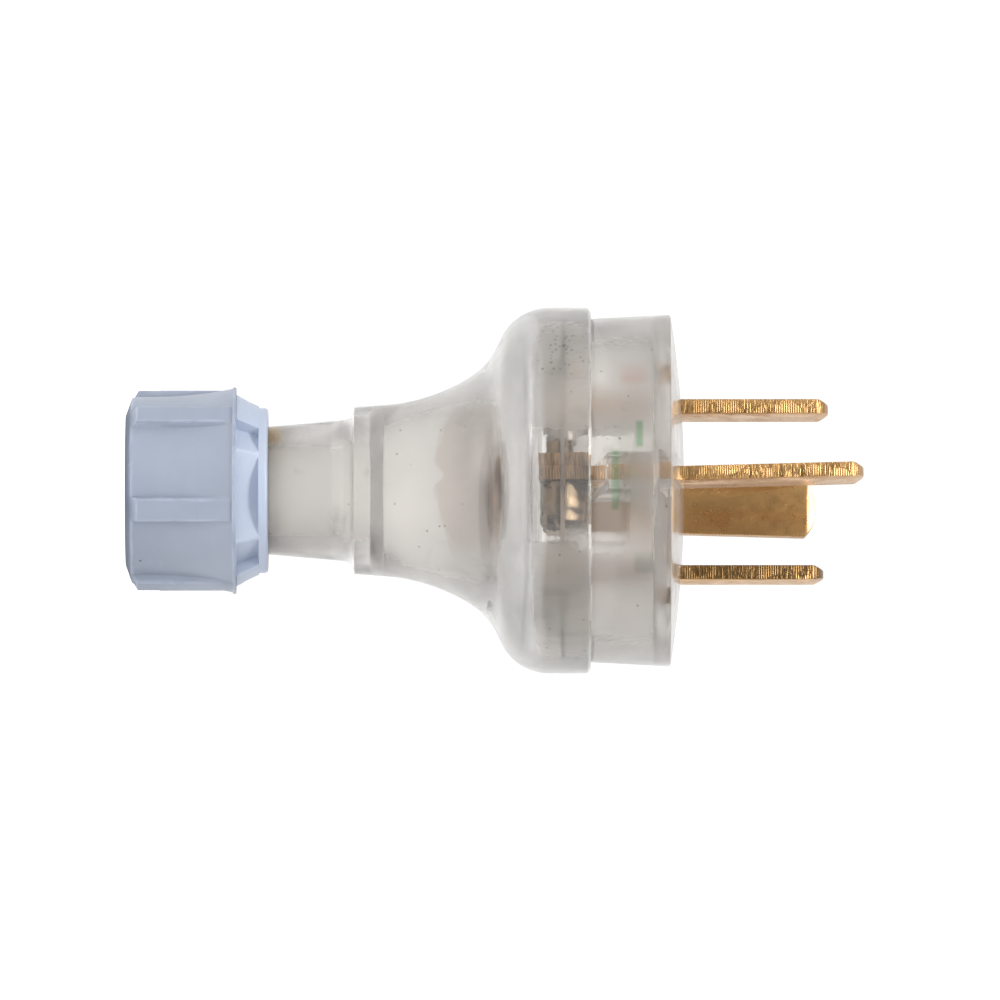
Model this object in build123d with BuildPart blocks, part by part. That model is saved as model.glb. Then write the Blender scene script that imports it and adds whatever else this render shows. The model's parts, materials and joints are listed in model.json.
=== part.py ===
"""Four-pin plug with a clear body and a cord-grip nut, in millimetres.

It stands on the nut's flat end. +Z runs along the axis from the cord's entry to the pins.
The earth pin is on the -Y side, and the cross pin is opposite it.
"""

import os
from math import cos, radians, sin, sqrt

from build123d import *

# Stations along the axis
nut_length = 16.6
neck_mouth_z = 6.5
neck_root_z = 25.2
collar_z = 26.6
collar_end_z = 30.1
bell_end_z = 49.5
split_z = 54.2
face_rim_z = 63.55
screw_z = 50.3

# Cover
neck_thread_r = 7.45
neck_root_r = 8.2
collar_r = 9.75
bell_start_r = 9.98
bell_r = 21.35
bell_bend = (13.2, 40.1)
bell_flare = (17.4, 43.6)
cover_wall = 1.85
shoulder_z = 47.0
shoulder_bend = 2.2
throat_r = 11.6
throat_root_r = 8.5
passage_r = 5.2
core_passage_r = 5.9
seal_seat_r = 6.4
seal_seat_z = 11.0
rim_chamfer = 0.5
pad_width = 1.4
pad_length = 3.2
pad_foot = 2.4

# Base
skirt_split_r = 20.0
skirt_face_r = 20.5
spigot_r = 19.45
spigot_z = 50.6
skirt_inner_r = 18.2
plate = 2.4
face_dome_r = 130.0
face_flat_r = 4.5
tower_z = 56.8
tower_wall = 1.35
slot_gap = 0.05

# Cord-grip nut
nut_end_r = 8.85
flute_front_r = 10.9
flute_middle_r = 11.12
nut_lip_r = 12.05
nut_lip_z = 12.85
rib_r = 11.95
rib_width = 2.7
rib_count = 6
rib_turn = 50.7
taper_front_r = 11.1
taper_rear_r = 9.9
hexagon_turn = 13.4
wedge_starts = [-19.0, 161.0]
wedge_arc = 71.0
ring_r = 9.62
ring_z = 15.5
core_r = 8.4
nut_bore_r = 7.55
entry_r = 5.0
nut_end_wall = 2.2

# Washer and seal inside the nut
washer_z = 2.3
washer_thickness = 0.8
seal_head_r = 7.2

# Pins: the photo shows the exposed part of two of them bent a little, and one twisted
pin_width = 6.35
pin_thickness = 1.63
side_pin_x = 9.73
side_pin_y = 0.6
earth_pin_r = 10.3
cross_pin_r = 11.2
pins_off_axis = 0.15
side_pin_start = 48.6
earth_pin_start = 47.5
bend_z = 65.1
tip_arc_r = 4.5
tip_bevel = 0.38
tip_bevel_length = 1.05

# Terminals
thread_r = 1.42
screw_hole_r = 1.5
nut_plate_length = 5.9
nut_plate_thickness = 1.5
cup_r = 2.8
cup_height = 3.1
cup_wall = 0.45
head_r = 2.75
head_height = 1.9
head_chamfer = 0.5
tip_stand = 1.7
slot_width = 0.75
slot_depth = 1.0
slot_turn = 17.0

os.makedirs("parts", exist_ok=True)

# Each pin: place, way the screw's head faces, inner end, tip, lean across the blade and lean in its plane
pins = {
    "earth": ((pins_off_axis, -earth_pin_r), 0.0, earth_pin_start, 85.9, 1.5, 0.0),
    "left": ((pins_off_axis - side_pin_x, side_pin_y), 180.0, side_pin_start, 81.95, 0.0, 0.0),
    "right": ((pins_off_axis + side_pin_x, side_pin_y), 3.0, side_pin_start, 81.35, 0.0, 0.0),
    "cross": ((pins_off_axis, cross_pin_r), 90.0, side_pin_start, 80.65, 0.0, 1.6),
}

# Cover: neck, collar and bell in one moulding, hollow from the cord's entry to the rim
bore_r = bell_r - cover_wall
with BuildPart() as cover:
    with BuildSketch(Plane.XZ) as cover_section:
        with BuildLine() as cover_outline:
            neck = Polyline(
                (seal_seat_r, seal_seat_z),
                (seal_seat_r, neck_mouth_z),
                (neck_thread_r - 0.4, neck_mouth_z),
                (neck_thread_r, neck_mouth_z + 0.5),
                (neck_thread_r, nut_length),
                (neck_root_r, neck_root_z),
                (neck_root_r + 0.4, collar_z - 0.35),
                (collar_r - 0.2, collar_z),
                (collar_r, collar_z + 0.15),
                (bell_start_r, collar_end_z),
            )
            flare = TangentArc(neck @ 1, bell_bend, tangent=(0.07, 1), mode=Mode.PRIVATE)
            turn = TangentArc(bell_bend, bell_flare, tangent=flare % 1, mode=Mode.PRIVATE)
            crown = TangentArc(bell_flare, (bell_r, bell_end_z), tangent=turn % 1, mode=Mode.PRIVATE)
            # The bell's curve is short cones between points on three arcs
            for arc, steps in ((flare, 3), (turn, 4), (crown, 6)):
                Polyline(*[arc @ (step / steps) for step in range(steps + 1)])
            Polyline(
                (bell_r, bell_end_z),
                (bell_r, split_z - rim_chamfer),
                (bell_r - rim_chamfer, split_z),
                (bore_r, split_z),
                (bore_r, shoulder_z + shoulder_bend),
                (bore_r - shoulder_bend, shoulder_z),
                (throat_r, shoulder_z),
                (throat_root_r, collar_end_z),
                (core_passage_r, 28.6),
                (core_passage_r, 25.6),
                (passage_r, 24.2),
                (passage_r, seal_seat_z),
                (seal_seat_r, seal_seat_z),
            )
        make_face()
    revolve(axis=Axis.Z)
    for name, side in (("left", -1), ("right", 1)):
        (pad_x, pad_y), _, start_z, _, _, _ = pins[name]
        with BuildSketch(Plane.XY.offset(shoulder_z - 2)):
            with Locations((pad_x + side * pad_foot / 2, pad_y)):
                Rectangle(pad_width + pad_foot, pad_length)
        extrude(amount=2.3)
        with BuildSketch(Plane.XY.offset(shoulder_z)):
            with Locations((pad_x, pad_y)):
                Rectangle(pad_width, pad_length)
        extrude(amount=start_z - 0.1 - shoulder_z)
cover.part.label = "cover"
export_step(cover.part, "parts/cover.step")

# Base: domed front plate, skirt and spigot, with a tower and a slot for each pin
half_width = pin_width / 2
half_thickness = pin_thickness / 2
dome_edge_r = skirt_face_r - 0.25
dome_mid_r = (face_flat_r + dome_edge_r) / 2
dome_centre_z = face_rim_z - sqrt(face_dome_r**2 - dome_edge_r**2)
dome_mid_z = dome_centre_z + sqrt(face_dome_r**2 - dome_mid_r**2)
face_z = dome_centre_z + sqrt(face_dome_r**2 - face_flat_r**2)
with BuildPart() as base:
    with BuildSketch(Plane.XZ) as base_section:
        with BuildLine():
            Polyline(
                (0, face_z),
                (face_flat_r, face_z),
                (dome_mid_r, dome_mid_z),
                (dome_edge_r, face_rim_z),
                (skirt_face_r, face_rim_z - 0.25),
                (skirt_split_r, split_z + 0.05),
                (spigot_r, split_z + 0.05),
                (spigot_r, spigot_z + 0.4),
                (spigot_r - 0.4, spigot_z),
                (skirt_inner_r, spigot_z),
                (skirt_inner_r, face_rim_z - plate),
                (face_flat_r, face_z - plate),
                (0, face_z - plate),
                (0, face_z),
            )
        make_face()
    revolve(axis=Axis.Z)
    with BuildSketch(Plane.XY.offset(tower_z)) as towers:
        for place, head_turn, _, _, _, _ in pins.values():
            with Locations(Location((*place, 0), (0, 0, head_turn))):
                Rectangle(pin_thickness + 2 * tower_wall, pin_width + 2 * tower_wall)
    extrude(amount=face_rim_z - plate / 2 - tower_z)
    with BuildSketch(Plane.XY.offset(tower_z - 1)) as slots:
        for place, head_turn, _, _, _, _ in pins.values():
            with Locations(Location((*place, 0), (0, 0, head_turn))):
                Rectangle(pin_thickness + 2 * slot_gap, pin_width + 2 * slot_gap)
    extrude(amount=face_z - tower_z + 2, mode=Mode.SUBTRACT)
base.part.label = "base"
export_step(base.part, "parts/base.step")

# One rib of the nut, on the XZ plane, with a sloped front end
with BuildPart() as rib:
    with BuildSketch(Plane.XZ) as rib_section:
        with BuildLine():
            Polyline(
                (9.0, 0.8),
                (10.8, 0.8),
                (rib_r, 1.45),
                (rib_r, nut_lip_z - 0.1),
                (9.0, nut_lip_z - 0.1),
                (9.0, 0.8),
            )
        make_face()
    extrude(amount=rib_width / 2, both=True)
    chamfer(rib.edges().filter_by(Axis.Z).group_by(Axis.X)[-1], 0.2)

# Cord-grip nut: faceted rear, then the fluted hollow body, lip and ring, the ribs and two raised wedges
with BuildPart() as cord_grip_nut:
    with BuildSketch(Plane.XY.offset(nut_lip_z - 0.1)):
        RegularPolygon(taper_front_r, rib_count, rotation=hexagon_turn)
    with BuildSketch(Plane.XY.offset(ring_z + 0.1)):
        RegularPolygon(taper_rear_r, rib_count, rotation=hexagon_turn)
    loft()
    with BuildSketch(Plane.XY.offset(nut_lip_z - 1)):
        Circle(nut_bore_r)
    extrude(amount=ring_z - nut_lip_z + 2, mode=Mode.SUBTRACT)
    with BuildSketch(Plane.XZ) as nut_section:
        with BuildLine() as nut_outline:
            Polyline(
                (nut_bore_r, nut_end_wall),
                (entry_r, nut_end_wall),
                (entry_r, 0.6),
                (entry_r + 0.6, 0),
                (nut_end_r, 0),
                (flute_front_r, 0.8),
                (flute_middle_r, 7.6),
                (nut_lip_r - 0.15, nut_lip_z - 0.35),
                (nut_lip_r, nut_lip_z - 0.3),
                (nut_lip_r, nut_lip_z),
                (core_r, nut_lip_z),
                (core_r, ring_z),
                (ring_r, ring_z),
                (ring_r, nut_length - 0.35),
                (ring_r - 0.35, nut_length),
                (nut_bore_r, nut_length),
                (nut_bore_r, nut_end_wall),
            )
        make_face()
    revolve(axis=Axis.Z)
    with PolarLocations(0, rib_count, start_angle=rib_turn):
        add(rib.part)
    for wedge_start in wedge_starts:
        wedge_plane = Plane(
            (0, 0, 0),
            (cos(radians(wedge_start)), sin(radians(wedge_start)), 0),
            (sin(radians(wedge_start)), -cos(radians(wedge_start)), 0),
        )
        with BuildSketch(wedge_plane):
            Polygon(
                (core_r - 0.4, nut_lip_z - 0.1),
                (taper_front_r, nut_lip_z - 0.1),
                (ring_r + 0.1, ring_z + 0.1),
                (core_r - 0.4, ring_z + 0.1),
                align=None,
            )
        revolve(axis=Axis.Z, revolution_arc=wedge_arc)
cord_grip_nut.part.label = "cord_grip_nut"
export_step(cord_grip_nut.part, "parts/cord_grip_nut.step")

# Slip washer between the nut's end wall and the seal
with BuildPart() as slip_washer:
    with BuildSketch(Plane.XY.offset(washer_z)):
        Circle(seal_head_r)
        Circle(entry_r + 0.3, mode=Mode.SUBTRACT)
    extrude(amount=washer_thickness)
slip_washer.part.label = "slip_washer"
export_step(slip_washer.part, "parts/slip_washer.step")

# Rubber seal: a head that the nut presses against the neck's mouth, and a sleeve inside it
seal_z = washer_z + washer_thickness
with BuildPart() as cord_seal:
    with BuildSketch(Plane.XZ) as seal_section:
        with BuildLine():
            Polyline(
                (entry_r + 0.05, seal_z),
                (seal_head_r, seal_z),
                (seal_head_r, neck_mouth_z),
                (seal_seat_r - 0.1, neck_mouth_z),
                (seal_seat_r - 0.1, seal_seat_z - 0.1),
                (entry_r + 0.05, seal_seat_z - 0.1),
                (entry_r + 0.05, seal_z),
            )
        make_face()
    revolve(axis=Axis.Z)
cord_seal.part.label = "cord_seal"
export_step(cord_seal.part, "parts/cord_seal.step")

# Each pin with its square nut behind it and its cup and screw in front of it
for name, (place, head_turn, start_z, tip_z, lean_across, lean_along) in pins.items():
    head_way = Vector(cos(radians(head_turn)), sin(radians(head_turn)), 0)
    blade_plane = Plane((*place, screw_z), (0, 0, 1), head_way)
    edge_plane = Plane((*place, screw_z), (0, 0, 1), blade_plane.y_dir)
    back = start_z - screw_z
    bend = bend_z - screw_z
    reach = tip_z - bend_z
    shoulder = reach - tip_arc_r + (tip_arc_r**2 - half_width**2) ** 0.5

    # The exposed part is drawn straight and then turned about the bend by its lean
    with BuildPart() as pin:
        with BuildSketch(blade_plane) as blade:
            with BuildLine(mode=Mode.PRIVATE) as exposed:
                Polyline((0, half_width), (0, -half_width), (shoulder, -half_width))
                ThreePointArc((shoulder, -half_width), (reach, 0), (shoulder, half_width))
                Line((shoulder, half_width), (0, half_width))
            with Locations(Location((bend, 0, 0), (0, 0, lean_along))):
                add(make_face(exposed.edges(), mode=Mode.PRIVATE))
            with Locations((back / 2 + bend / 2, 0)):
                Rectangle(bend - back, pin_width)
        extrude(amount=pin_thickness, both=True)
        with BuildSketch(edge_plane) as edge:
            with Locations(Location((bend, 0, 0), (0, 0, lean_across))):
                Polygon(
                    (0, -half_thickness),
                    (reach - tip_bevel_length, -half_thickness),
                    (reach, tip_bevel - half_thickness),
                    (reach, half_thickness - tip_bevel),
                    (reach - tip_bevel_length, half_thickness),
                    (0, half_thickness),
                    align=None,
                )
            with Locations((back / 2 + bend / 2, 0)):
                Rectangle(bend - back, pin_thickness)
        extrude(amount=pin_width, both=True, mode=Mode.INTERSECT)
        with BuildSketch(blade_plane):
            Circle(screw_hole_r)
        extrude(amount=pin_thickness, both=True, mode=Mode.SUBTRACT)
    pin.part.label = name + "_pin"
    export_step(pin.part, "parts/" + name + "_pin.step")

    with BuildPart() as terminal_nut:
        with BuildSketch(blade_plane.offset(-half_thickness - nut_plate_thickness)):
            Rectangle(nut_plate_length, pin_width - 0.1)
            Circle(thread_r + 0.03, mode=Mode.SUBTRACT)
        extrude(amount=nut_plate_thickness)
    terminal_nut.part.label = name + "_terminal_nut"
    export_step(terminal_nut.part, "parts/" + name + "_terminal_nut.step")

    with BuildPart() as clamp_cup:
        with BuildSketch(blade_plane.offset(half_thickness)):
            Circle(cup_r)
        extrude(amount=cup_height)
        with BuildSketch(blade_plane.offset(half_thickness)):
            Circle(cup_r - cup_wall)
        extrude(amount=cup_height - cup_wall, mode=Mode.SUBTRACT)
        with BuildSketch(blade_plane.offset(half_thickness)):
            Circle(screw_hole_r)
        extrude(amount=cup_height, mode=Mode.SUBTRACT)
    clamp_cup.part.label = name + "_clamp_cup"
    export_step(clamp_cup.part, "parts/" + name + "_clamp_cup.step")

    head_base = half_thickness + cup_height
    screw_tip = half_thickness + nut_plate_thickness + tip_stand
    with BuildPart() as terminal_screw:
        with BuildSketch(blade_plane.offset(head_base)):
            Circle(head_r)
        extrude(amount=head_height)
        outer_face = terminal_screw.faces().sort_by(Axis(blade_plane.origin, blade_plane.z_dir))[-1]
        chamfer(outer_face.edges(), head_chamfer)
        with BuildSketch(blade_plane.offset(-screw_tip)):
            Circle(thread_r)
        extrude(amount=screw_tip + head_base)
        with BuildSketch(blade_plane.offset(head_base + head_height - slot_depth)):
            Rectangle(slot_width, 3 * head_r, rotation=slot_turn)
        extrude(amount=slot_depth + 1, mode=Mode.SUBTRACT)
    terminal_screw.part.label = name + "_terminal_screw"
    export_step(terminal_screw.part, "parts/" + name + "_terminal_screw.step")
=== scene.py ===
"""Looks of a four-pin plug: clear body, brass pins, plated terminals and a blue-grey cord-grip nut."""

import json
from math import cos, pi, radians, sin, sqrt

import bmesh
import bpy
from bpy.props import FloatProperty, FloatVectorProperty, IntProperty, PointerProperty
from mathutils import Matrix, Vector

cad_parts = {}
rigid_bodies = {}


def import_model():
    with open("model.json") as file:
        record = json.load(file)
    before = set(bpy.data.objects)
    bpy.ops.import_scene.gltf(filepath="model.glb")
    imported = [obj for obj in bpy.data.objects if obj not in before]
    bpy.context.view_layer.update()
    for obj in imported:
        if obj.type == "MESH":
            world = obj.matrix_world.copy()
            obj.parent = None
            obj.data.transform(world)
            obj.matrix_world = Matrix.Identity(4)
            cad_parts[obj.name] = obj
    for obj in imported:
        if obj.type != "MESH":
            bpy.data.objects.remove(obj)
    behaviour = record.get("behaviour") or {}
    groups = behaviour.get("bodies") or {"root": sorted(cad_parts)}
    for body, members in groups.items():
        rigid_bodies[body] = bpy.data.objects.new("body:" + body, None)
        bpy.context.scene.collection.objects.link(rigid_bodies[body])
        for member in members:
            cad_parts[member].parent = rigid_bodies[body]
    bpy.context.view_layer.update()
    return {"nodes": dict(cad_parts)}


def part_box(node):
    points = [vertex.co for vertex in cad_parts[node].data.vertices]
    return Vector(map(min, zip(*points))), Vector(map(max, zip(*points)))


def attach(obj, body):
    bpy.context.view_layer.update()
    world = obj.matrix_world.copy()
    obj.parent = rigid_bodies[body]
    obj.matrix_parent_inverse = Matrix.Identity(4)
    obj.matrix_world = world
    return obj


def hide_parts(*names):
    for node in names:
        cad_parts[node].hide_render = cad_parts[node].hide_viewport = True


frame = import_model()

bl_info = {
    "name": "Four-pin plug",
    "version": (1, 0, 0),
    "blender": (4, 5, 0),
    "location": "View3D > Sidebar > Plug",
    "description": "Builds the visible pieces of a clear four-pin plug round its solids",
    "category": "Add Mesh",
}

MM = 0.001
WORLD_Z = (0, 0, 1)

# Each pin's centre in millimetres and the turn of its blade in degrees
PIN_PLACES = {
    "earth": (0.15, -10.3, 0.0),
    "left": (-9.58, 0.6, 0.0),
    "right": (9.88, 0.6, 3.0),
    "cross": (0.15, 11.2, 90.0),
}

cover_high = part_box("cover")[1]
base_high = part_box("base")[1]
nut_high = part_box("cord_grip_nut")[1]


class PlugSizes(bpy.types.PropertyGroup):
    """Sizes that a user would change, in metres"""

    bell_radius: FloatProperty(
        name="Bell radius",
        description="Outer radius of the cover's bell",
        default=cover_high.x,
        unit="LENGTH",
    )
    cover_wall: FloatProperty(
        name="Cover wall", description="Wall of the bell beside its rim", default=1.85 * MM, unit="LENGTH"
    )
    split_height: FloatProperty(
        name="Split height",
        description="Where the cover's rim meets the base",
        default=cover_high.z,
        unit="LENGTH",
    )
    face_height: FloatProperty(
        name="Face height", description="Middle of the base's domed face", default=base_high.z, unit="LENGTH"
    )
    face_radius: FloatProperty(
        name="Face radius",
        description="Outer radius of the base at its face",
        default=base_high.x,
        unit="LENGTH",
    )
    face_dome: FloatProperty(
        name="Face dome",
        description="Radius of the sphere that domes the face",
        default=130 * MM,
        unit="LENGTH",
    )
    plate: FloatProperty(
        name="Plate", description="Thickness of the base's front plate", default=2.4 * MM, unit="LENGTH"
    )
    lip_radius: FloatProperty(
        name="Lip radius", description="Outer radius of the nut's lip", default=nut_high.x, unit="LENGTH"
    )
    nut_length: FloatProperty(
        name="Nut length", description="Length of the cord-grip nut", default=nut_high.z, unit="LENGTH"
    )
    rib_width: FloatProperty(
        name="Rib width", description="Width of each grip rib on the nut", default=2.7 * MM, unit="LENGTH"
    )
    rib_count: IntProperty(name="Ribs", description="Grip ribs round the nut", default=6, min=3, max=12)
    turns: IntProperty(
        name="Lathe steps", description="Steps round each turned piece", default=180, min=24, max=360
    )


class PlugColours(bpy.types.PropertyGroup):
    """Colours that a user would change"""

    clear: FloatVectorProperty(
        name="Clear plastic",
        description="Tint of the clear body",
        subtype="COLOR",
        default=(0.97, 0.945, 0.915),
    )
    nut: FloatVectorProperty(
        name="Nut plastic",
        description="Blue-grey of the cord-grip nut",
        subtype="COLOR",
        default=(0.31, 0.35, 0.43),
    )
    brass: FloatVectorProperty(
        name="Brass", description="Colour of the pins", subtype="COLOR", default=(0.84, 0.49, 0.2)
    )
    tarnish: FloatVectorProperty(
        name="Tarnish",
        description="Dull brown of the brass inside the body",
        subtype="COLOR",
        default=(0.2, 0.12, 0.06),
    )
    plating: FloatVectorProperty(
        name="Plating",
        description="Warm nickel of the earth terminal's screw",
        subtype="COLOR",
        default=(0.22, 0.165, 0.11),
    )
    seal: FloatVectorProperty(
        name="Seal", description="Amber rubber in the neck", subtype="COLOR", default=(0.62, 0.4, 0.14)
    )
    mark_green: FloatVectorProperty(
        name="Green mark",
        description="Colour field beside the earth pin",
        subtype="COLOR",
        default=(0.1, 0.48, 0.16),
    )
    mark_red: FloatVectorProperty(
        name="Red mark",
        description="Colour field beside a side pin",
        subtype="COLOR",
        default=(0.8, 0.2, 0.12),
    )


class PlugStage(bpy.types.PropertyGroup):
    """Where the camera stands"""

    turn: FloatProperty(
        name="Turn", description="Camera's angle round the plug", default=radians(9.5), subtype="ANGLE"
    )
    distance: FloatProperty(name="Distance", description="Camera to axis", default=2.5, unit="LENGTH")
    scale: FloatProperty(name="Scale", description="Frame pixels per millimetre at the axis", default=8.57)
    nut_end_x: FloatProperty(name="Nut end", description="Frame x of the nut's end, in pixels", default=126.0)
    axis_y: FloatProperty(name="Axis", description="Frame y of the plug's axis, in pixels", default=490.6)


def sizes():
    return bpy.context.scene.plug_sizes


def colours():
    return bpy.context.scene.plug_colours


# Mesh tools


def deselect():
    if bpy.context.object and bpy.context.object.mode != "OBJECT":
        bpy.ops.object.mode_set(mode="OBJECT")
    bpy.ops.object.select_all(action="DESELECT")


def pick(obj):
    deselect()
    obj.select_set(True)
    bpy.context.view_layer.objects.active = obj


def draw_chain(name, points, closed):
    """Draws a profile in the XZ plane by extruding one vertex from point to point."""
    deselect()
    bpy.ops.mesh.primitive_plane_add(size=MM, location=(0, 0, 0))
    obj = bpy.context.object
    obj.name = name
    bpy.ops.object.mode_set(mode="EDIT")
    bpy.ops.mesh.select_mode(type="VERT")
    bpy.ops.mesh.select_all(action="SELECT")
    bpy.ops.mesh.merge(type="CENTER")
    bpy.ops.transform.translate(value=(points[0][0], 0, points[0][1]))
    for (r0, z0), (r1, z1) in zip(points, points[1:]):
        bpy.ops.mesh.extrude_vertices_move(TRANSFORM_OT_translate={"value": (r1 - r0, 0, z1 - z0)})
    if closed:
        mesh = bmesh.from_edit_mesh(obj.data)
        for vertex in mesh.verts:
            vertex.select = len(vertex.link_edges) == 1
        bmesh.update_edit_mesh(obj.data)
        bpy.ops.mesh.edge_face_add()
    return obj


def lathe(name, points, closed=False, steps=None):
    """Turns a profile of (radius, height) points round Z into a closed body."""
    obj = draw_chain(name, points, closed)
    bpy.ops.mesh.select_all(action="SELECT")
    bpy.ops.mesh.spin(
        steps=steps or sizes().turns, angle=2 * pi, center=(0, 0, 0), axis=WORLD_Z, use_auto_merge=True
    )
    bpy.ops.mesh.select_all(action="SELECT")
    bpy.ops.mesh.remove_doubles(threshold=1e-6)
    bpy.ops.mesh.select_all(action="SELECT")
    bpy.ops.mesh.normals_make_consistent(inside=False)
    bpy.ops.object.mode_set(mode="OBJECT")
    return obj


def arc_points(centre, radius, start, end, count):
    """Points on an arc, angles in degrees from +r towards +z."""
    turn = [radians(start + (end - start) * i / count) for i in range(count + 1)]
    return [(centre[0] + radius * cos(t), centre[1] + radius * sin(t)) for t in turn]


def tangent_arc(start, end, heading, count):
    """Points after start on the arc that leaves it at heading (radians from +z) and ends at end."""
    chord = Vector((end[0] - start[0], end[1] - start[1]))
    slant = pi / 2 - chord.angle_signed(Vector((1, 0)))
    half = slant - heading
    points = []
    for i in range(1, count + 1):
        share = i / count
        length = chord.length * sin(share * half) / sin(half)
        direction = heading + share * half
        points.append((start[0] + length * sin(direction), start[1] + length * cos(direction)))
    return points, heading + 2 * half


def in_metres(points):
    return [(r * MM, z * MM) for r, z in points]


def apply_modifier(obj, modifier):
    pick(obj)
    bpy.ops.object.modifier_apply(modifier=modifier.name)


def bevel(obj, width, angle=30):
    modifier = obj.modifiers.new("edge", "BEVEL")
    modifier.width = width
    modifier.segments = 2
    modifier.limit_method = "ANGLE"
    modifier.angle_limit = radians(angle)
    apply_modifier(obj, modifier)


def boolean(obj, tool, operation):
    modifier = obj.modifiers.new("join", "BOOLEAN")
    modifier.operation = operation
    modifier.solver = "EXACT"
    modifier.object = tool
    apply_modifier(obj, modifier)
    bpy.data.objects.remove(tool, do_unlink=True)


def block(name, centre, size, low, high, turn=0.0, round_by=0.0):
    """A rounded cuboid in millimetres.

    Its centre and size are across the axis, low and high are its ends, and its turn is in degrees.
    """
    deselect()
    bpy.ops.mesh.primitive_cube_add(
        size=1,
        location=(centre[0] * MM, centre[1] * MM, (low + high) / 2 * MM),
        rotation=(0, 0, radians(turn)),
        scale=(size[0] * MM, size[1] * MM, (high - low) * MM),
    )
    obj = bpy.context.object
    obj.name = name
    bpy.ops.object.transform_apply(location=True, rotation=True, scale=True)
    if round_by:
        bevel(obj, round_by * MM)
    return obj


def smooth(obj, angle=35):
    pick(obj)
    bpy.ops.object.shade_smooth_by_angle(angle=radians(angle))


def settle(obj, node, material, body="plug"):
    """Makes a finished piece stand for its solid."""
    pick(obj)
    bpy.ops.object.transform_apply(location=True, rotation=True, scale=True)
    obj.data.materials.clear()
    obj.data.materials.append(material)
    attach(obj, body)
    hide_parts(node)


def dressed_copy(node, name, width, angle=30):
    """A merged copy of a solid's mesh with its edges broken."""
    pick(frame["nodes"][node])
    bpy.ops.object.duplicate()
    obj = bpy.context.object
    obj.name = name
    obj.data.name = name
    bpy.ops.object.parent_clear(type="CLEAR_KEEP_TRANSFORM")
    bpy.ops.object.mode_set(mode="EDIT")
    bpy.ops.mesh.select_all(action="SELECT")
    bpy.ops.mesh.remove_doubles(threshold=1e-6)
    bpy.ops.mesh.dissolve_limited(angle_limit=radians(0.5))
    bpy.ops.object.mode_set(mode="OBJECT")
    bevel(obj, width, angle)
    return obj


# Shader tools


class Graph:
    """Adds and links the nodes of one material or node group."""

    def __init__(self, tree):
        self.tree = tree

    def node(self, kind, **values):
        made = self.tree.nodes.new(kind)
        for key, value in values.items():
            setattr(made, key, value)
        return made

    def put(self, socket, value):
        if isinstance(value, bpy.types.NodeSocket):
            self.tree.links.new(value, socket)
        else:
            socket.default_value = value

    def math(self, operation, *values, clamp=False):
        made = self.node("ShaderNodeMath", operation=operation, use_clamp=clamp)
        for socket, value in zip(made.inputs, values):
            self.put(socket, value)
        return made.outputs[0]

    def ramp(self, value, low, high, start=0.0, end=1.0):
        """Maps a value smoothly from low..high to start..end."""
        made = self.node("ShaderNodeMapRange", interpolation_type="SMOOTHSTEP")
        keys = ("Value", "From Min", "From Max", "To Min", "To Max")
        for key, item in zip(keys, (value, low, high, start, end)):
            self.put(made.inputs[key], item)
        return made.outputs["Result"]

    def mix(self, share, first, second):
        made = self.node("ShaderNodeMix", data_type="RGBA")
        self.put(made.inputs["Factor"], share)
        self.put(made.inputs[6], first)
        self.put(made.inputs[7], second)
        return made.outputs[2]

    def product(self, first, *others):
        """Multiplies values and shares in their order."""
        for other in others:
            first = self.math("MULTIPLY", first, other)
        return first

    def rest(self, share):
        """What a share leaves of one."""
        return self.math("SUBTRACT", 1.0, share)

    def paint(self, shade, mask, strength, colour):
        """Lays a colour over the shade where the mask is, as strongly as asked."""
        return self.mix(self.math("MULTIPLY", mask, strength), shade, colour)

    def split(self, vector):
        made = self.node("ShaderNodeSeparateXYZ")
        self.put(made.inputs[0], vector)
        return made.outputs

    def mapping(self, coordinates, scale=(1, 1, 1), rotation=(0, 0, 0)):
        made = self.node("ShaderNodeMapping")
        self.put(made.inputs["Vector"], coordinates)
        made.inputs["Scale"].default_value = scale
        made.inputs["Rotation"].default_value = rotation
        return made.outputs[0]

    def noise(self, vector, scale, detail=2.0, roughness=0.5, distortion=0.0):
        made = self.node("ShaderNodeTexNoise")
        self.put(made.inputs["Vector"], vector)
        keys = ("Scale", "Detail", "Roughness", "Distortion")
        for key, value in zip(keys, (scale, detail, roughness, distortion)):
            self.put(made.inputs[key], value)
        return made.outputs["Fac"]

    def normal(self):
        """The surface's direction on Object axes."""
        return self.node("ShaderNodeTexCoord").outputs["Normal"]

    def group(self, group, output, **values):
        made = self.node("ShaderNodeGroup", node_tree=group)
        for key, value in values.items():
            self.put(made.inputs[key.replace("_", " ")], value)
        return made.outputs[output]

    def bump(self, height, strength, distance, normal=None):
        made = self.node("ShaderNodeBump")
        self.put(made.inputs["Height"], height)
        made.inputs["Strength"].default_value = strength
        made.inputs["Distance"].default_value = distance
        if normal:
            self.put(made.inputs["Normal"], normal)
        return made.outputs[0]


def new_group(name, inputs, output):
    """A shader node group with a vector, named numbers in and one number out."""
    group = bpy.data.node_groups.new(name, "ShaderNodeTree")
    group.interface.new_socket(name="Vector", in_out="INPUT", socket_type="NodeSocketVector")
    for label, default in inputs:
        socket = group.interface.new_socket(name=label, in_out="INPUT", socket_type="NodeSocketFloat")
        socket.default_value = default
    group.interface.new_socket(name=output, in_out="OUTPUT", socket_type="NodeSocketFloat")
    graph = Graph(group)
    return group, graph, graph.node("NodeGroupInput").outputs, graph.node("NodeGroupOutput").inputs


def shared(name, make):
    """Builds a node group once."""
    return bpy.data.node_groups.get(name) or make(name)


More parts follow.
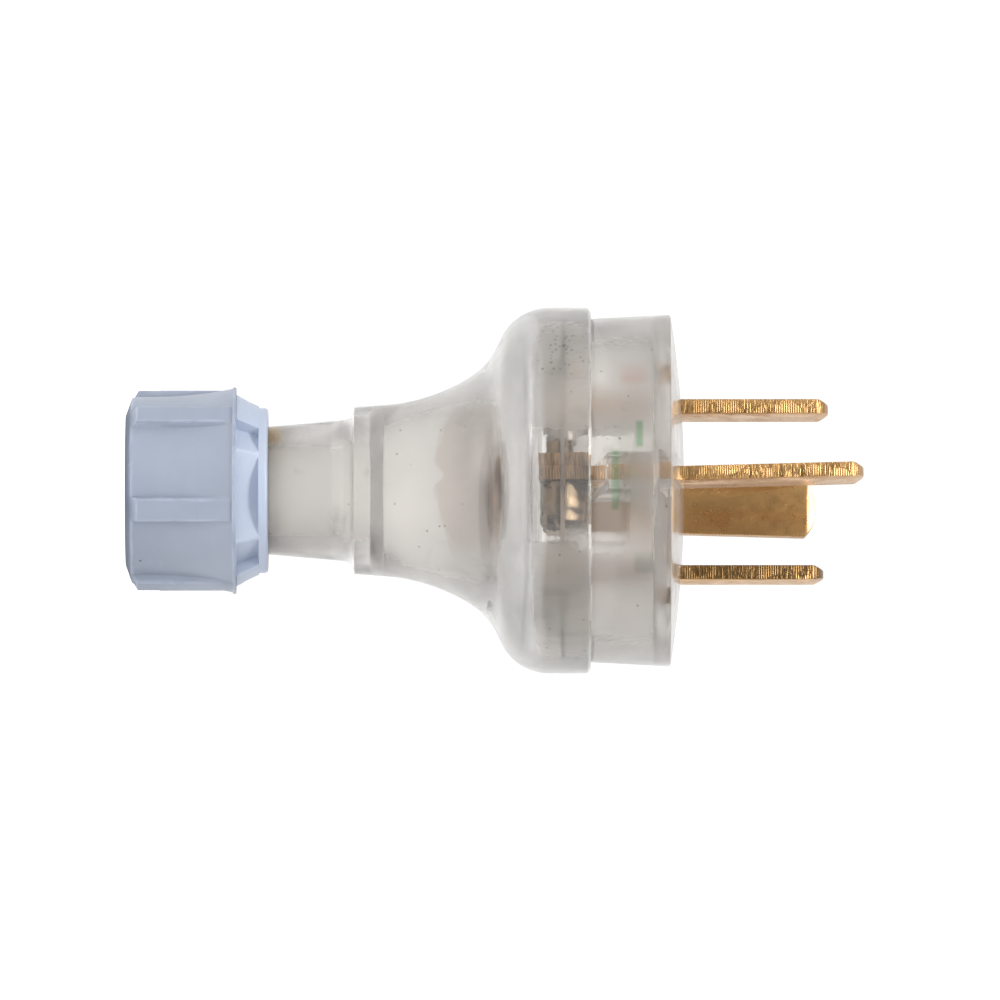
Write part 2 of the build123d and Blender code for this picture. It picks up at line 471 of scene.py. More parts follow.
def make_specks(name):
    """Small grains scattered through a body."""
    group, graph, given, out = new_group(name, [("Cells", 400.0), ("Size", 0.1), ("Share", 0.3)], "Mask")
    cells = graph.node("ShaderNodeTexVoronoi")
    graph.put(cells.inputs["Vector"], given["Vector"])
    graph.put(cells.inputs["Scale"], given["Cells"])
    near = graph.math("LESS_THAN", cells.outputs["Distance"], given["Size"])
    tone = graph.node("ShaderNodeSeparateColor")
    graph.put(tone.inputs[0], cells.outputs["Color"])
    kept = graph.math("LESS_THAN", tone.outputs[0], given["Share"])
    graph.put(out["Mask"], graph.product(near, kept))
    return group


def make_scratches(name):
    """Fine crossing scratches, as a mask."""
    group, graph, given, out = new_group(name, [("Scale", 300.0), ("Amount", 0.5)], "Mask")
    layers = []
    for angle, stretch in ((0.4, 0.02), (1.9, 0.03)):
        turned = graph.mapping(given["Vector"], scale=(1, stretch, 1), rotation=(angle, angle * 2, angle))
        field = graph.noise(turned, given["Scale"], detail=3, roughness=0.6)
        layers.append(graph.ramp(field, 0.66, 0.74))
    either = graph.math("MAXIMUM", layers[0], layers[1])
    graph.put(out["Mask"], graph.product(either, given["Amount"]))
    return group


def make_ripple(name):
    """Slow waves of a moulded surface with a fine grain over them."""
    group, graph, given, out = new_group(
        name, [("Waves", 90.0), ("Grain", 1500.0), ("Grain Share", 0.1)], "Height"
    )
    slow = graph.noise(given["Vector"], given["Waves"], detail=1)
    fine = graph.noise(given["Vector"], given["Grain"], detail=2)
    graph.put(out["Height"], graph.math("ADD", slow, graph.product(fine, given["Grain Share"])))
    return group


def specks(graph, place, cells, size, share):
    group = shared("plug_specks", make_specks)
    return graph.group(group, "Mask", Vector=place, Cells=cells, Size=size, Share=share)


def scratches(graph, place, scale, amount):
    group = shared("plug_scratches", make_scratches)
    return graph.group(group, "Mask", Vector=place, Scale=scale, Amount=amount)


def ripple(graph, place, waves, grain, share):
    group = shared("plug_ripple", make_ripple)
    return graph.group(group, "Height", Vector=place, Waves=waves, Grain=grain, Grain_Share=share)


def rgba(colour, factor=1.0):
    return tuple(min(1.0, channel * factor) for channel in colour) + (1,)


def new_material(name):
    material = bpy.data.materials.new(name)
    material.use_nodes = True
    tree = material.node_tree
    tree.nodes.clear()
    graph = Graph(tree)
    shader = graph.node("ShaderNodeBsdfPrincipled")
    output = graph.node("ShaderNodeOutputMaterial")
    tree.links.new(shader.outputs[0], output.inputs[0])
    place = graph.node("ShaderNodeTexCoord").outputs["Object"]
    return material, graph, shader.inputs, place


def box_mask(graph, place, low, high, soft):
    """One inside a box and nought outside, with soft edges, in millimetres."""
    share = None
    for axis, part in enumerate(graph.split(place)):
        start, end, blur = low[axis] * MM, high[axis] * MM, soft * MM
        inside = graph.product(
            graph.ramp(part, start - blur, start + blur), graph.ramp(part, end - blur, end + blur, 1.0, 0.0)
        )
        share = inside if share is None else graph.product(share, inside)
    return share


def skins_inside(graph, place, limit, top):
    """One on skins nearer the axis than the limit and below the top, nought on the others."""
    x, y, z = graph.split(place)
    squares = graph.math("ADD", graph.product(x, x), graph.product(y, y))
    inside = graph.math("LESS_THAN", graph.math("SQRT", squares), limit)
    return graph.product(inside, graph.math("LESS_THAN", z, top * MM))


def clear_material(name, transmission, finish, speck_cells, marks, tone=1.0):
    """Clear plastic, a little hazy, with moulding waves, scuffs and a few dark grains."""
    material, graph, shader, place = new_material(name)
    tint, grain_colour, scuff_colour = colours().clear, (0.12, 0.11, 0.1, 1), (0.4, 0.38, 0.36, 1)
    cloud = graph.noise(place, 120, detail=3)
    shade = graph.mix(graph.ramp(cloud, 0.35, 0.7), rgba(tint, tone), rgba(tint, 0.95 * tone))
    shade = graph.paint(shade, specks(graph, place, speck_cells, 0.1, 0.2), 0.75, grain_colour)
    shade = marks(graph, place, shade)
    scuffs = scratches(graph, place, 260.0, 1.0)
    graph.put(shader["Base Color"], graph.paint(shade, scuffs, 0.18, scuff_colour))
    haze = graph.product(finish(graph, place), graph.ramp(cloud, 0.3, 0.75, 0.75, 1.3))
    graph.put(shader["Roughness"], graph.math("ADD", haze, graph.product(scuffs, 0.14), clamp=True))
    shader["Transmission Weight"].default_value = transmission
    shader["IOR"].default_value = 1.49
    waves = graph.bump(ripple(graph, place, 150.0, 1700.0, 0.06), 0.4, 0.4 * MM)
    graph.put(shader["Normal"], graph.bump(scuffs, 0.2, 0.04 * MM, waves))
    return material


def window(graph, place):
    """One over the clear patch in front of the earth terminal, nought elsewhere."""
    middle, half, blurred_half = 2.6 * MM, 6.0 * MM, 7.8 * MM
    wander = graph.product(graph.math("SUBTRACT", graph.noise(place, 200, detail=3), 0.5), 5 * MM)
    x, y, z = graph.split(place)
    off_middle = graph.math("ABSOLUTE", graph.math("ADD", graph.math("SUBTRACT", x, middle), wander))
    across = graph.ramp(off_middle, half, blurred_half, 1.0, 0.0)
    nearest = graph.ramp(y, -8 * MM, -6 * MM, 1.0, 0.0)
    start = graph.ramp(z, 46.8 * MM, 47.6 * MM)
    end = graph.ramp(z, 57 * MM, 60 * MM, 1.0, 0.0)
    return graph.product(across, nearest, graph.product(start, end))


def cover_finish(graph, place):
    """Glossy outside; inside dull, but for the patch in front of the earth terminal."""
    height = graph.split(place)["Z"]
    slope = graph.ramp(height, 46.9 * MM, 47.3 * MM, 1.0, 0.0)
    # The radius between inner and outer skins: at the passage, its step, the throat and the bell
    passage_limit, step_limit, bell_limit = 6.6 * MM, 8.8 * MM, 20.4 * MM
    throat_start, throat_limit, throat_flare = 30 * MM, 9.1 * MM, 0.187
    above = graph.math("SUBTRACT", height, throat_start)
    throat = graph.math("ADD", graph.product(above, throat_flare), throat_limit)
    limit = graph.ramp(height, 28.5 * MM, 28.6 * MM, passage_limit, step_limit)
    limit = graph.ramp(height, 30.1 * MM, 30.2 * MM, limit, throat)
    limit = graph.ramp(height, 46.85 * MM, 46.9 * MM, limit, bell_limit)
    dull = graph.math("ADD", 0.38, graph.product(slope, 0.06))
    dull = graph.product(graph.rest(window(graph, place)), dull)
    outer = graph.math("ADD", 0.05, graph.product(slope, 0.05))
    return graph.math("ADD", outer, graph.product(skins_inside(graph, place, limit, 60.0), dull))


def base_finish(graph, place):
    """Dull on the skirt and duller inside it, but for the patch in front of the earth terminal."""
    skin_limit, plate_back = 18.9 * MM, 63.1
    height = graph.split(place)["Z"]
    inner = skins_inside(graph, place, skin_limit, plate_back)
    dull = graph.math("ADD", 0.12, graph.product(inner, 0.26))
    skirt = graph.ramp(height, 54.2 * MM, 54.8 * MM)
    dull = graph.product(dull, skirt, graph.rest(window(graph, place)))
    spigot_end = graph.ramp(height, 51.0 * MM, 51.2 * MM, 0.45, 0.0)
    return graph.math("ADD", 0.04, graph.math("MAXIMUM", dull, spigot_end))


def flow_mark(graph, place, nearest):
    """A mark with two lobes inside the bell's slope."""
    x, _, z = graph.split(place)
    notch = graph.ramp(graph.math("ABSOLUTE", x), 0.0, 1.6 * MM, 1.1 * MM, 0.0)
    wander = graph.product(graph.noise(place, 500, detail=3), 1.2 * MM)
    lobes = graph.product(x, x, 35.0)
    edge = graph.math("SUBTRACT", graph.math("SUBTRACT", graph.math("SUBTRACT", z, notch), wander), lobes)
    start = graph.ramp(edge, 35.4 * MM, 35.7 * MM)
    end = graph.ramp(z, 43.0 * MM, 45.0 * MM, 1.0, 0.0)
    return graph.product(start, end, nearest)


def oval_mark(graph, place, nearest):
    """A pointed oval where the slope turns into the bell."""
    x, _, z = graph.split(place)
    across = graph.math("DIVIDE", graph.math("SUBTRACT", x, 3.0 * MM), 6.1 * MM)
    along = graph.math("DIVIDE", graph.math("SUBTRACT", z, 43.4 * MM), 1.45 * MM)
    oval = graph.math("ADD", graph.product(across, across), graph.product(along, along))
    return graph.product(graph.ramp(oval, 0.8, 1.1, 1.0, 0.0), nearest)


def paint_cover(graph, place, shade):
    """Moulding marks, a pale band round the bell's shoulder as a painted highlight, streaks, an amber stain
    beside the nut and pits.
    """
    tint = colours().clear
    x, y, z = graph.split(place)
    nearest = graph.product(
        graph.ramp(y, -6 * MM, -4 * MM, 1.0, 0.0),
        graph.ramp(graph.math("ABSOLUTE", x), 7 * MM, 9 * MM, 1.0, 0.0),
    )
    shade = graph.paint(shade, flow_mark(graph, place, nearest), 0.6, (0.7, 0.63, 0.58, 1))
    shade = graph.paint(shade, oval_mark(graph, place, nearest), 0.8, (0.55, 0.5, 0.46, 1))
    dent = box_mask(graph, place, (1.0, -20.0, 43.7), (5.4, -8.0, 44.1), 0.12)
    shade = graph.paint(shade, dent, 0.7, (0.35, 0.32, 0.3, 1))
    # Painted highlight: the band round the bell's shoulder is laid almost white
    painted_highlight_crescent = graph.product(
        graph.ramp(z, 44.6 * MM, 45.4 * MM), graph.ramp(z, 47.2 * MM, 47.8 * MM, 1.0, 0.0)
    )
    shade = graph.paint(shade, painted_highlight_crescent, 0.85, (1, 1, 1, 1))
    streaks = graph.noise(graph.mapping(place, scale=(1, 1, 0.3)), 420, detail=4, roughness=0.65)
    streaks = graph.product(graph.ramp(streaks, 0.5, 0.72), graph.ramp(z, 34.0 * MM, 40.0 * MM))
    shade = graph.paint(shade, streaks, 0.55, rgba(tint, 0.62))
    shade = graph.mix(graph.ramp(z, 24.0 * MM, 27.0 * MM, 0.9, 0.0), shade, rgba(tint, 0.8))
    stain = box_mask(graph, place, (-8.5, -8.0, 16.0), (-4.6, 3.0, 18.0), 0.3)
    shade = graph.paint(shade, stain, 0.8, (0.85, 0.6, 0.28, 1))
    pits = graph.product(
        specks(graph, place, 1500.0, 0.3, 0.45),
        box_mask(graph, place, (-17.5, -22.0, 48.0), (-10.5, -8.0, 54.0), 1.0),
        graph.ramp(graph.noise(place, 420, detail=2), 0.4, 0.55),
    )
    return graph.paint(shade, pits, 0.85, (0.3, 0.29, 0.28, 1))


def paint_base(graph, place, shade):
    """A clearer spigot, and soft colour fields beside the pins in place of markings."""
    height = graph.split(place)["Z"]
    shade = graph.mix(graph.ramp(height, 54.0 * MM, 54.8 * MM, 0.9, 0.0), shade, (1, 0.995, 0.99, 1))
    shade = graph.mix(graph.ramp(height, 51.05 * MM, 51.15 * MM, 0.8, 0.0), shade, (0.55, 0.52, 0.48, 1))
    green, red = rgba(colours().mark_green), rgba(colours().mark_red)
    grey, yellow = (0.3, 0.38, 0.33, 1), (0.85, 0.66, 0.26, 1)
    fields = (
        ((-1.4, -21.0, 56.6), (5.5, -18.6, 57.4), green, 0.72, 0.25),
        ((-4.9, -21.0, 59.4), (-1.8, -18.6, 60.2), green, 0.72, 0.25),
        ((-4.9, -21.0, 57.2), (5.5, -18.6, 59.9), green, 0.1, 0.8),
        ((-11.9, -21.0, 57.7), (-9.7, -15.0, 60.5), red, 0.22, 0.6),
        ((10.2, -21.0, 59.2), (12.3, -14.0, 61.6), grey, 0.3, 0.35),
        ((4.9, -21.0, 63.9), (12.7, -14.0, 64.9), yellow, 0.6, 0.3),
    )
    for low, high, colour, strength, soft in fields:
        shade = graph.paint(shade, box_mask(graph, place, low, high, soft), strength, colour)
    return shade


def nut_material(name):
    """Satin moulded plastic with fine grain, light scuffs, edges lightened partly by wear and partly as a
    painted highlight, a painted highlight over its rear and one dark nick.
    """
    material, graph, shader, place = new_material(name)
    base = colours().nut
    cloud = graph.noise(place, 140, detail=4, roughness=0.6)
    shade = graph.mix(graph.ramp(cloud, 0.3, 0.75), rgba(base), rgba(base, 0.93))
    # Sharp edges lightened in patches: partly wear, partly a painted highlight
    edge = graph.node("ShaderNodeNewGeometry").outputs["Pointiness"]
    worn_and_highlit_edges = graph.product(
        graph.ramp(edge, 0.505, 0.53), graph.ramp(graph.noise(place, 420, detail=3), 0.35, 0.6)
    )
    shade = graph.paint(shade, worn_and_highlit_edges, 0.45, rgba(base, 1.35))
    # Painted highlight: all of the nut above its lip is made brighter, as if lit from the end
    rear = graph.ramp(graph.split(place)["Z"], 12.86 * MM, 12.96 * MM)
    shade = graph.paint(shade, rear, 0.9, rgba(base, 1.65))
    scuffs = scratches(graph, place, 330.0, 0.5)
    shade = graph.paint(shade, scuffs, 0.25, rgba(base, 1.25))
    grains = specks(graph, place, 330.0, 0.05, 0.12)
    shade = graph.paint(shade, grains, 0.7, (0.04, 0.04, 0.05, 1))
    nick = box_mask(graph, place, (9.3, -6.0, 11.7), (10.0, -3.0, 11.85), 0.06)
    shade = graph.paint(shade, nick, 0.8, (0.08, 0.08, 0.1, 1))
    graph.put(shader["Base Color"], shade)
    graph.put(shader["Roughness"], graph.ramp(cloud, 0.3, 0.7, 0.36, 0.48))
    shader["IOR"].default_value = 1.5
    shader["Subsurface Weight"].default_value = 0.12
    shader["Subsurface Radius"].default_value = (0.6, 0.7, 1.0)
    shader["Subsurface Scale"].default_value = 1 * MM
    waves = graph.bump(ripple(graph, place, 160.0, 2600.0, 0.22), 0.3, 0.15 * MM)
    graph.put(shader["Normal"], graph.bump(scuffs, 0.25, 0.04 * MM, waves))
    return material


def brass_material(name, broad_axis, tarnish, painted_edge_light=1.0):
    """Stamped brass: edges with shearing marks, as bright as each pin is given as painted light, painted
    shade between the teeth, broad faces painted browner and darker as a painted reflection, tarnished inside
    the body with painted light and shade on the teeth.
    """
    material, graph, shader, place = new_material(name)
    brass = colours().brass
    # Painted reflection shade: faces square to the broad axis are browner and darker than the edges
    broad = graph.ramp(graph.math("ABSOLUTE", graph.split(graph.normal())[broad_axis]), 0.75, 0.95)
    edge = graph.math("SUBTRACT", 1.0, broad)
    height = graph.split(place)["Z"]
    cloud = graph.noise(place, 380, detail=4, roughness=0.65)
    face = graph.mix(graph.ramp(cloud, 0.3, 0.7), rgba(brass, 0.85), rgba(brass, 0.68))
    # Painted light: the edges' brightness is given for each pin
    rim = graph.mix(graph.ramp(cloud, 0.35, 0.7), rgba(brass, painted_edge_light), rgba(brass, 0.8 * painted_edge_light))
    shade = graph.mix(broad, rim, face)
    # Shearing marks run across the edge: rough tears over fine even ridges
    tears = graph.ramp(graph.noise(graph.mapping(place, scale=(0.1, 0.1, 1)), 4200, 2, 0.6), 0.38, 0.62)
    ridge_period = 0.27 * MM
    ridges = graph.ramp(graph.math("SINE", graph.product(height, 2 * pi / ridge_period)), -1.0, 1.0)
    evenly = graph.ramp(graph.noise(place, 420, detail=1), 0.45, 0.55)
    teeth = graph.product(edge, graph.mix(evenly, tears, ridges))
    # Painted shade in the grooves between the teeth
    painted_groove_shade = graph.product(graph.math("SUBTRACT", edge, teeth), 0.6)
    shade = graph.mix(painted_groove_shade, shade, rgba(brass, 0.3))
    scuffs = scratches(graph, place, 900.0, 1.0)
    shade = graph.paint(shade, scuffs, 0.3, rgba(brass, 1.2))
    grains = specks(graph, place, 1400.0, 0.14, 0.12)
    shade = graph.paint(shade, grains, 0.5, (0.16, 0.09, 0.03, 1))
    inside = graph.ramp(height, 54.5 * MM, 56.5 * MM, 1.0, 0.0)
    # Inside the body the teeth are painted lighter and the rest darker over a mottle: painted light and shade
    painted_tooth_light_and_mottle = graph.math("ADD", graph.product(teeth, 0.8), graph.ramp(cloud, 0.4, 0.7, 0.0, 0.2))
    dull = graph.mix(painted_tooth_light_and_mottle, rgba(tarnish, 0.25), rgba(tarnish, 2.0))
    shade = graph.paint(shade, inside, 0.92, dull)
    graph.put(shader["Base Color"], shade)
    shader["Metallic"].default_value = 1.0
    smoothness = graph.ramp(cloud, 0.3, 0.7, 0.24, 0.4)
    graph.put(shader["Roughness"], graph.math("ADD", smoothness, graph.product(inside, 0.1)))
    fine = graph.bump(cloud, 0.25, 0.03 * MM)
    cut = graph.bump(teeth, 0.6, 0.06 * MM, fine)
    graph.put(shader["Normal"], graph.bump(scuffs, 0.3, 0.02 * MM, cut))
    return material


def plated_material(name, metal, factor, roughness):
    """Nickel plating with stains."""
    material, graph, shader, place = new_material(name)
    cloud = graph.noise(place, 700, detail=4, roughness=0.6)
    shade = graph.mix(graph.ramp(cloud, 0.35, 0.7), rgba(metal, factor), rgba(metal, 0.45 * factor))
    graph.put(shader["Base Color"], shade)
    shader["Metallic"].default_value = 1.0
    graph.put(shader["Roughness"], graph.ramp(cloud, 0.3, 0.7, roughness * 0.6, roughness * 1.4))
    graph.put(shader["Normal"], graph.bump(cloud, 0.3, 0.03 * MM))
    return material


def plain_material(name, colour, roughness):
    """Moulded plastic or rubber with a fine grain and slight mottling."""
    material, graph, shader, place = new_material(name)
    cloud = graph.noise(place, 500, detail=3)
    graph.put(shader["Base Color"], graph.mix(graph.ramp(cloud, 0.3, 0.75), rgba(colour), rgba(colour, 0.85)))
    graph.put(shader["Roughness"], graph.ramp(cloud, 0.3, 0.7, roughness * 0.85, roughness * 1.15))
    graph.put(shader["Normal"], graph.bump(cloud, 0.2, 0.05 * MM))
    return material


# Pieces


def cover_profile():
    """Outer skin from the neck's mouth to the rim, then the inner skin back, in millimetres."""
    bell = sizes().bell_radius / MM
    split = sizes().split_height / MM
    bore = bell - sizes().cover_wall / MM
    shoulder, bend = 47.0, 2.2
    outer = [(6.4, 6.5), (7.05, 6.5), (7.45, 7.0), (7.45, 16.6), (8.2, 25.2)]
    outer += arc_points((9.6, 25.2), 1.4, 180, 95, 7)[1:]
    outer += [(9.66, 26.6), (9.75, 26.68), (9.98, 30.1)]
    flare, heading = tangent_arc((9.98, 30.1), (13.2, 40.1), radians(4), 12)
    turn, heading = tangent_arc((13.2, 40.1), (17.4, 43.6), heading, 9)
    crown, _ = tangent_arc((17.4, 43.6), (bell, 49.5), heading, 14)
    outer += flare + turn + crown
    outer += [(bell, split - 0.55), (bell - 0.08, split - 0.3), (bell - 0.5, split), (bore + 0.06, split)]
    inner = [(bore, split - 0.08)]
    inner += arc_points((bore - bend, shoulder + bend), bend, 0, -90, 9)
    inner += [(11.9, shoulder), (11.65, shoulder - 0.15), (8.55, 30.25), (8.35, 30.02), (6.02, 28.68)]
    inner += [(5.9, 28.5), (5.9, 25.65), (5.86, 25.5), (5.24, 24.3), (5.2, 24.1), (5.2, 11.1), (5.3, 11.0)]
    inner += [(6.3, 11.0), (6.4, 10.9)]
    return in_metres(outer + inner)


def base_profile():
    """Domed plate, skirt and spigot, from the axis out and back to it, in millimetres."""
    face = sizes().face_height / MM
    rim = sizes().face_radius / MM
    dome = sizes().face_dome / MM
    plate = sizes().plate / MM
    split = sizes().split_height / MM + 0.05
    flat = 4.5
    centre = face - sqrt(dome**2 - flat**2)
    radii = [flat + (rim - 0.3 - flat) * i / 9 for i in range(10)]
    outside = [(0, face)] + [(r, centre + sqrt(dome**2 - r**2)) for r in radii]
    edge = outside[-1][1]
    outside += [(rim - 0.1, edge - 0.07), (rim, edge - 0.27), (20.04, split + 0.1), (19.98, split)]
    outside += [(19.45, split), (19.45, 51.0), (19.05, 50.6), (18.3, 50.6), (18.2, 50.7)]
    inner = dome - plate
    radii = [17.3 - 17.3 * i / 8 for i in range(9)]
    floor = [(r, centre + sqrt(inner**2 - r**2)) for r in radii]
    outside += [(18.2, floor[0][1] - 0.85), (17.95, floor[0][1] - 0.25)]
    return in_metres(outside + floor)


def nut_radius(angle, height, skin):
    """Outer radius of the nut, in millimetres, at an angle (radians) and a height (mm)."""
    lip = sizes().lip_radius / MM
    if height > 15.55 or height < 0.05:
        return skin
    if height > 12.95:
        drop = (height - 12.95) / (15.55 - 12.95)
        sixth = (angle - radians(13.4)) % (pi / 3)
        hexagon = (11.1 - 1.25 * drop) * cos(pi / 6) / cos(sixth - pi / 6)
        wedge = 0.0
        for start in (-19.0, 161.0):
            along = (angle - radians(start)) % (2 * pi)
            side = min(along, radians(71) - along)
            if -radians(1) < side:
                rise = min(1.0, max(0.0, side / radians(1) + 0.5))
                wedge = max(wedge, rise * (11.15 - 1.45 * drop))
        return max(hexagon, wedge)
    if height > 12.45 or height < 0.78:
        return skin
    spacing = 2 * pi / sizes().rib_count
    offset = (angle - radians(50.7) + spacing / 2) % spacing - spacing / 2
    across = abs(offset) * skin
    half = sizes().rib_width / MM / 2
    crest = min(lip - 0.1, 10.85 + 1.75 * max(0.0, height - 0.78))
    share = min(1.0, max(0.0, (half - across) / 0.16 + 0.5))
    return skin + max(0.0, crest - skin) * share * share * (3 - 2 * share)


def build_nut():
    """Turns the nut finely, then raises its ribs, wedges and flats from the turned skin."""
    lip = sizes().lip_radius / MM
    length = sizes().nut_length / MM
    stations = [0.95, 1.1, 1.25, 1.4, 1.55] + [1.6 + i * 0.495 for i in range(23)]
    flute = [(10.9 + (lip - 0.15 - 10.9) * ((z - 0.8) / 11.7) ** 2.6, z) for z in stations]
    end = [(5.55, 0.0), (8.7, 0.0), (8.85, 0.02), (8.97, 0.07), (10.6, 0.62), (10.78, 0.7), (10.87, 0.8)]
    lip_points = [(lip - 0.03, 12.5), (lip, 12.56), (lip, 12.82), (lip - 0.04, 12.87), (11.1, 12.9)]
    rear = [(11.05 - 1.3 * i / 6, 12.97 + 2.5 * i / 6) for i in range(7)]
    ring = [(9.66, 15.56), (9.62, 15.62), (9.62, 16.2), (9.55, 16.42), (9.38, 16.56), (9.2, length)]
    inside = [(7.65, length), (7.55, length - 0.1), (7.55, 2.3), (7.45, 2.2)]
    inside += [(5.1, 2.2), (5.0, 2.1), (5.0, 0.55), (5.15, 0.22)]
    profile = end + flute + lip_points + rear + ring + inside
    obj = lathe("nut_body", in_metres(profile), closed=True, steps=360)
    for vertex in obj.data.vertices:
        place = vertex.co / MM
        skin = Vector((place.x, place.y)).length
        if skin < 8.4:
            continue
        angle = -Vector((1, 0)).angle_signed(Vector((place.x, place.y)))
        wanted = nut_radius(angle, place.z, skin)
        vertex.co.x *= wanted / skin
        vertex.co.y *= wanted / skin
    return obj


class PLUG_OT_cover(bpy.types.Operator):
    """Turn the clear cover: bell, collar, neck and passage"""

    bl_idname = "plug.cover"
    bl_label = "Cover"

    def execute(self, context):
        material = clear_material("cover_clear", 0.95, cover_finish, 700.0, paint_cover, 0.9)
        cover = lathe("cover_moulding", cover_profile(), closed=True)
        for side in ("left", "right"):
            x, y, _ = PIN_PLACES[side]
            outward = 1.2 if x > 0 else -1.2
            boolean(cover, block("pad", (x + outward, y), (3.8, 3.2), 45.0, 47.3, round_by=0.1), "UNION")
            boolean(cover, block("pad", (x, y), (1.4, 3.2), 46.0, 48.5, round_by=0.1), "UNION")
        smooth(cover)
        settle(cover, "cover", material)
        return {"FINISHED"}


class PLUG_OT_base(bpy.types.Operator):
    """Turn the clear base and cut the pins' towers and slots"""

    bl_idname = "plug.base"
    bl_label = "Base"

    def execute(self, context):
        material = clear_material("base_clear", 0.94, base_finish, 620.0, paint_base)
        base = lathe("base_moulding", base_profile())
        for x, y, turn in PIN_PLACES.values():
            boolean(base, block("tower", (x, y), (4.33, 9.05), 56.8, 62.4, turn, 0.25), "UNION")
            boolean(base, block("slot", (x, y), (1.73, 6.45), 50.0, 70.0, turn), "DIFFERENCE")
        smooth(base)
        settle(base, "base", material)
        return {"FINISHED"}


class PLUG_OT_nut(bpy.types.Operator):
    """Turn and shape the ribbed cord-grip nut"""

    bl_idname = "plug.nut"
    bl_label = "Cord-grip nut"

    def execute(self, context):
        nut = build_nut()
        smooth(nut, 40)
        settle(nut, "cord_grip_nut", nut_material("nut_plastic"), body="nut")
        return {"FINISHED"}


class PLUG_OT_pins(bpy.types.Operator):
    """Break the edges of the four brass pins and their square nuts"""

    bl_idname = "plug.pins"
    bl_label = "Pins"

    def execute(self, context):
        brown, grey = colours().tarnish, (0.5, 0.46, 0.41)
        for side in PIN_PLACES:
            axis = "Y" if side == "cross" else "X"
            # Painted light and shade: each pin's edges get their own brightness, the right pin's much darker
            tone = {"left": 0.8, "right": 0.3}.get(side, 0.88)
            material = brass_material(side + "_brass", axis, brown if side == "earth" else grey, tone)
            for kind, label, width in (("pin", "blade", 0.1), ("terminal_nut", "square_nut", 0.12)):
                node = side + "_" + kind
                piece = dressed_copy(node, side + "_" + label, width * MM)
                smooth(piece)
                settle(piece, node, material)
        return {"FINISHED"}


class PLUG_OT_terminals(bpy.types.Operator):
    """Finish the clamp cups and the slotted screws"""

    bl_idname = "plug.terminals"
    bl_label = "Terminal screws"

    def execute(self, context):
        warm = plated_material("warm_plating", colours().plating, 1.0, 0.22)
        dull = plated_material("dull_plating", (0.55, 0.52, 0.48), 1.0, 0.5)
        for side in PIN_PLACES:
            material = warm if side == "earth" else dull
            for kind, label in (("clamp_cup", "cup"), ("terminal_screw", "screw")):
                node = side + "_" + kind
                piece = dressed_copy(node, side + "_" + label, 0.05 * MM)
                smooth(piece)
                settle(piece, node, material)
        return {"FINISHED"}


class PLUG_OT_seal(bpy.types.Operator):
    """Finish the washer and the rubber seal inside the nut"""

    bl_idname = "plug.seal"
    bl_label = "Seal and washer"

    def execute(self, context):
        seal = dressed_copy("cord_seal", "amber_seal", 0.08 * MM)
        smooth(seal)
        settle(seal, "cord_seal", plain_material("amber_rubber", colours().seal, 0.6))
        washer = dressed_copy("slip_washer", "grip_washer", 0.06 * MM)
        smooth(washer)
        settle(washer, "slip_washer", plain_material("washer_plastic", (0.75, 0.74, 0.7), 0.45))
        return {"FINISHED"}


def add_light(name, place, aim, size, power):
    data = bpy.data.lights.new(name, "AREA")
    data.shape = "RECTANGLE"
    data.size, data.size_y = size
    data.energy = power
    light = bpy.data.objects.new(name, data)
    bpy.context.collection.objects.link(light)
    light.location = place
    light.rotation_mode = "QUATERNION"
    light.rotation_quaternion = (Vector(aim) - Vector(place)).to_track_quat("-Z", "Y")


def build_world():
    """A white surround, dimmer on the camera's side and at the sides; seen directly it is plain white."""
    world = bpy.data.worlds.new("studio")
    world.use_nodes = True
    bpy.context.scene.world = world
    world.node_tree.nodes.clear()
    graph = Graph(world.node_tree)
    parts = graph.split(graph.node("ShaderNodeTexCoord").outputs["Generated"])
    behind = graph.ramp(parts["Y"], 0.1, 0.97, 0.25, 0.98)
    above = graph.ramp(parts["Z"], 0.2, 0.95, 0.0, 0.6)
    seen = graph.node("ShaderNodeLightPath").outputs["Is Camera Ray"]
    level = graph.math("MAXIMUM", graph.math("MAXIMUM", behind, above), graph.product(seen, 1.05))
    background = graph.node("ShaderNodeBackground")
    graph.put(background.inputs["Color"], (1, 1, 1, 1))
    graph.put(background.inputs["Strength"], level)
    output = graph.node("ShaderNodeOutputWorld")
    world.node_tree.links.new(background.outputs[0], output.inputs[0])


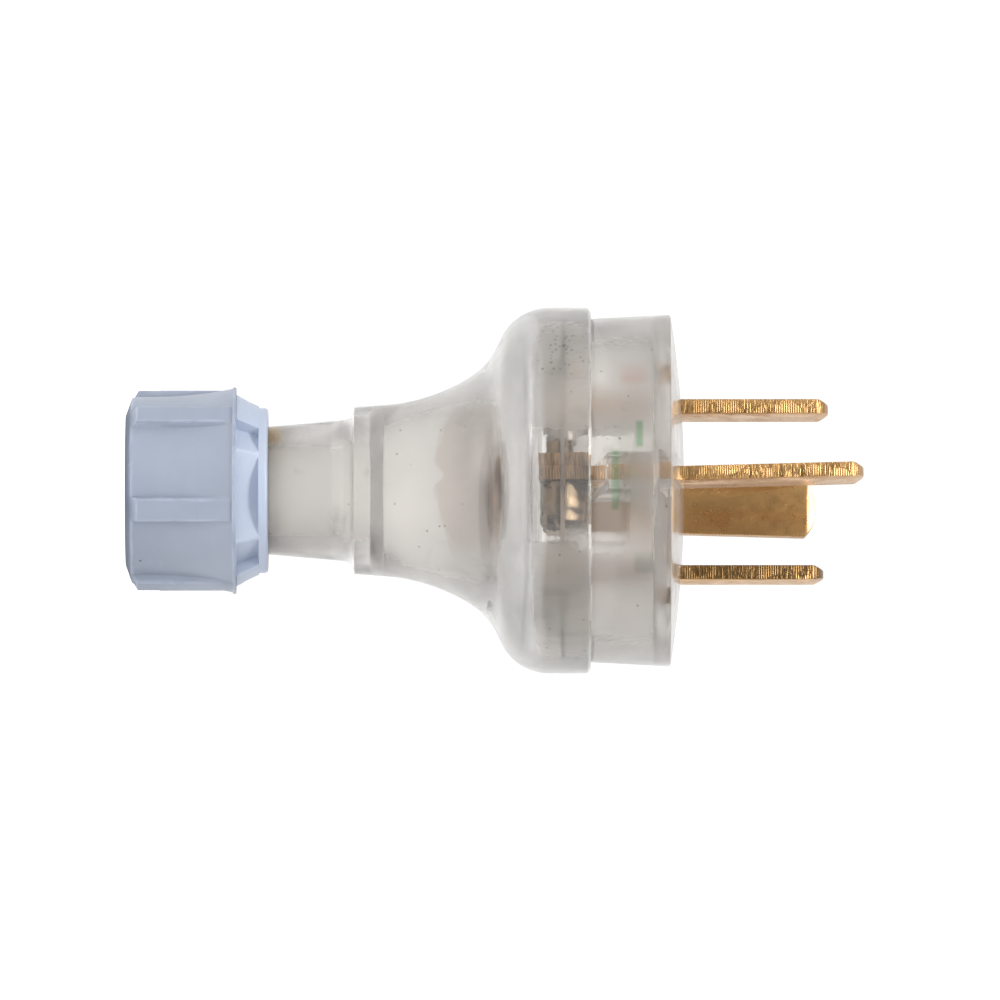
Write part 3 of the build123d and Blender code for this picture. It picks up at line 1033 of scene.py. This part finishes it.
class PLUG_OT_stage(bpy.types.Operator):
    """Set the white floor, the soft lights and the camera"""

    bl_idname = "plug.stage"
    bl_label = "Stage"

    def execute(self, context):
        stage = context.scene.plug_stage
        build_world()
        context.scene.view_settings.view_transform = "Standard"
        deselect()
        bpy.ops.mesh.primitive_plane_add(size=0.5, location=(0, 0, -0.05 * MM))
        floor = context.object
        floor.name = "white_floor"
        material, graph, shader, place = new_material("floor_white")
        graph.put(shader["Roughness"], graph.ramp(graph.noise(place, 30), 0.3, 0.7, 0.88, 0.92))
        shader["Base Color"].default_value = (0.9, 0.9, 0.9, 1)
        shader["Emission Color"].default_value = (1, 1, 1, 1)
        seen = graph.node("ShaderNodeLightPath").outputs["Is Camera Ray"]
        graph.put(shader["Emission Strength"], graph.ramp(seen, 0.0, 1.0, 0.3, 1.0))
        floor.data.materials.append(material)
        middle = (0, 0, 0.042)
        add_light("key", (-0.4, -0.4, 0.1), middle, (0.45, 0.45), 0.42)
        add_light("fill", (0.3, -0.4, 0.12), middle, (0.35, 0.35), 0.14)
        add_light("end", (-0.03, -0.16, 0.43), middle, (0.25, 0.25), 2.3)
        turn, distance = stage.turn, stage.distance
        right = Vector(WORLD_Z)
        up = Vector((-cos(turn), -sin(turn), 0))
        back = Vector((sin(turn), -cos(turn), 0))
        frame_half = 500.0
        along = (frame_half - stage.nut_end_x) / stage.scale * MM
        above = (stage.axis_y - frame_half) / stage.scale * MM
        data = bpy.data.cameras.new("camera")
        data.sensor_width = 36.0
        data.lens = stage.scale * distance / MM / (2 * frame_half) * data.sensor_width
        data.clip_start, data.clip_end = 0.01, 10
        camera = bpy.data.objects.new("camera", data)
        context.collection.objects.link(camera)
        place = right * along + up * above + back * distance
        turned = Matrix((right, up, back)).transposed().to_4x4()
        camera.matrix_world = Matrix.Translation(place) @ turned
        context.scene.camera = camera
        return {"FINISHED"}


class PLUG_PT_panel(bpy.types.Panel):
    """Lists the plug's pieces in the sidebar"""

    bl_label = "Four-pin plug"
    bl_idname = "PLUG_PT_panel"
    bl_space_type = "VIEW_3D"
    bl_region_type = "UI"
    bl_category = "Plug"

    def draw(self, context):
        for group in (context.scene.plug_sizes, context.scene.plug_colours, context.scene.plug_stage):
            for key in group.bl_rna.properties.keys():
                if key not in ("rna_type", "name"):
                    self.layout.prop(group, key)
        for operator in OPERATORS:
            self.layout.operator(operator.bl_idname)


OPERATORS = (
    PLUG_OT_stage,
    PLUG_OT_cover,
    PLUG_OT_base,
    PLUG_OT_nut,
    PLUG_OT_pins,
    PLUG_OT_terminals,
    PLUG_OT_seal,
)
CLASSES = (PlugSizes, PlugColours, PlugStage) + OPERATORS + (PLUG_PT_panel,)


def register():
    for item in CLASSES:
        bpy.utils.register_class(item)
    bpy.types.Scene.plug_sizes = PointerProperty(type=PlugSizes)
    bpy.types.Scene.plug_colours = PointerProperty(type=PlugColours)
    bpy.types.Scene.plug_stage = PointerProperty(type=PlugStage)


def unregister():
    del bpy.types.Scene.plug_stage
    del bpy.types.Scene.plug_colours
    del bpy.types.Scene.plug_sizes
    for item in reversed(CLASSES):
        bpy.utils.unregister_class(item)


def main():
    register()
    bpy.ops.plug.stage()
    bpy.ops.plug.cover()
    bpy.ops.plug.base()
    bpy.ops.plug.nut()
    bpy.ops.plug.pins()
    bpy.ops.plug.terminals()
    bpy.ops.plug.seal()


if __name__ == "__main__":
    main()
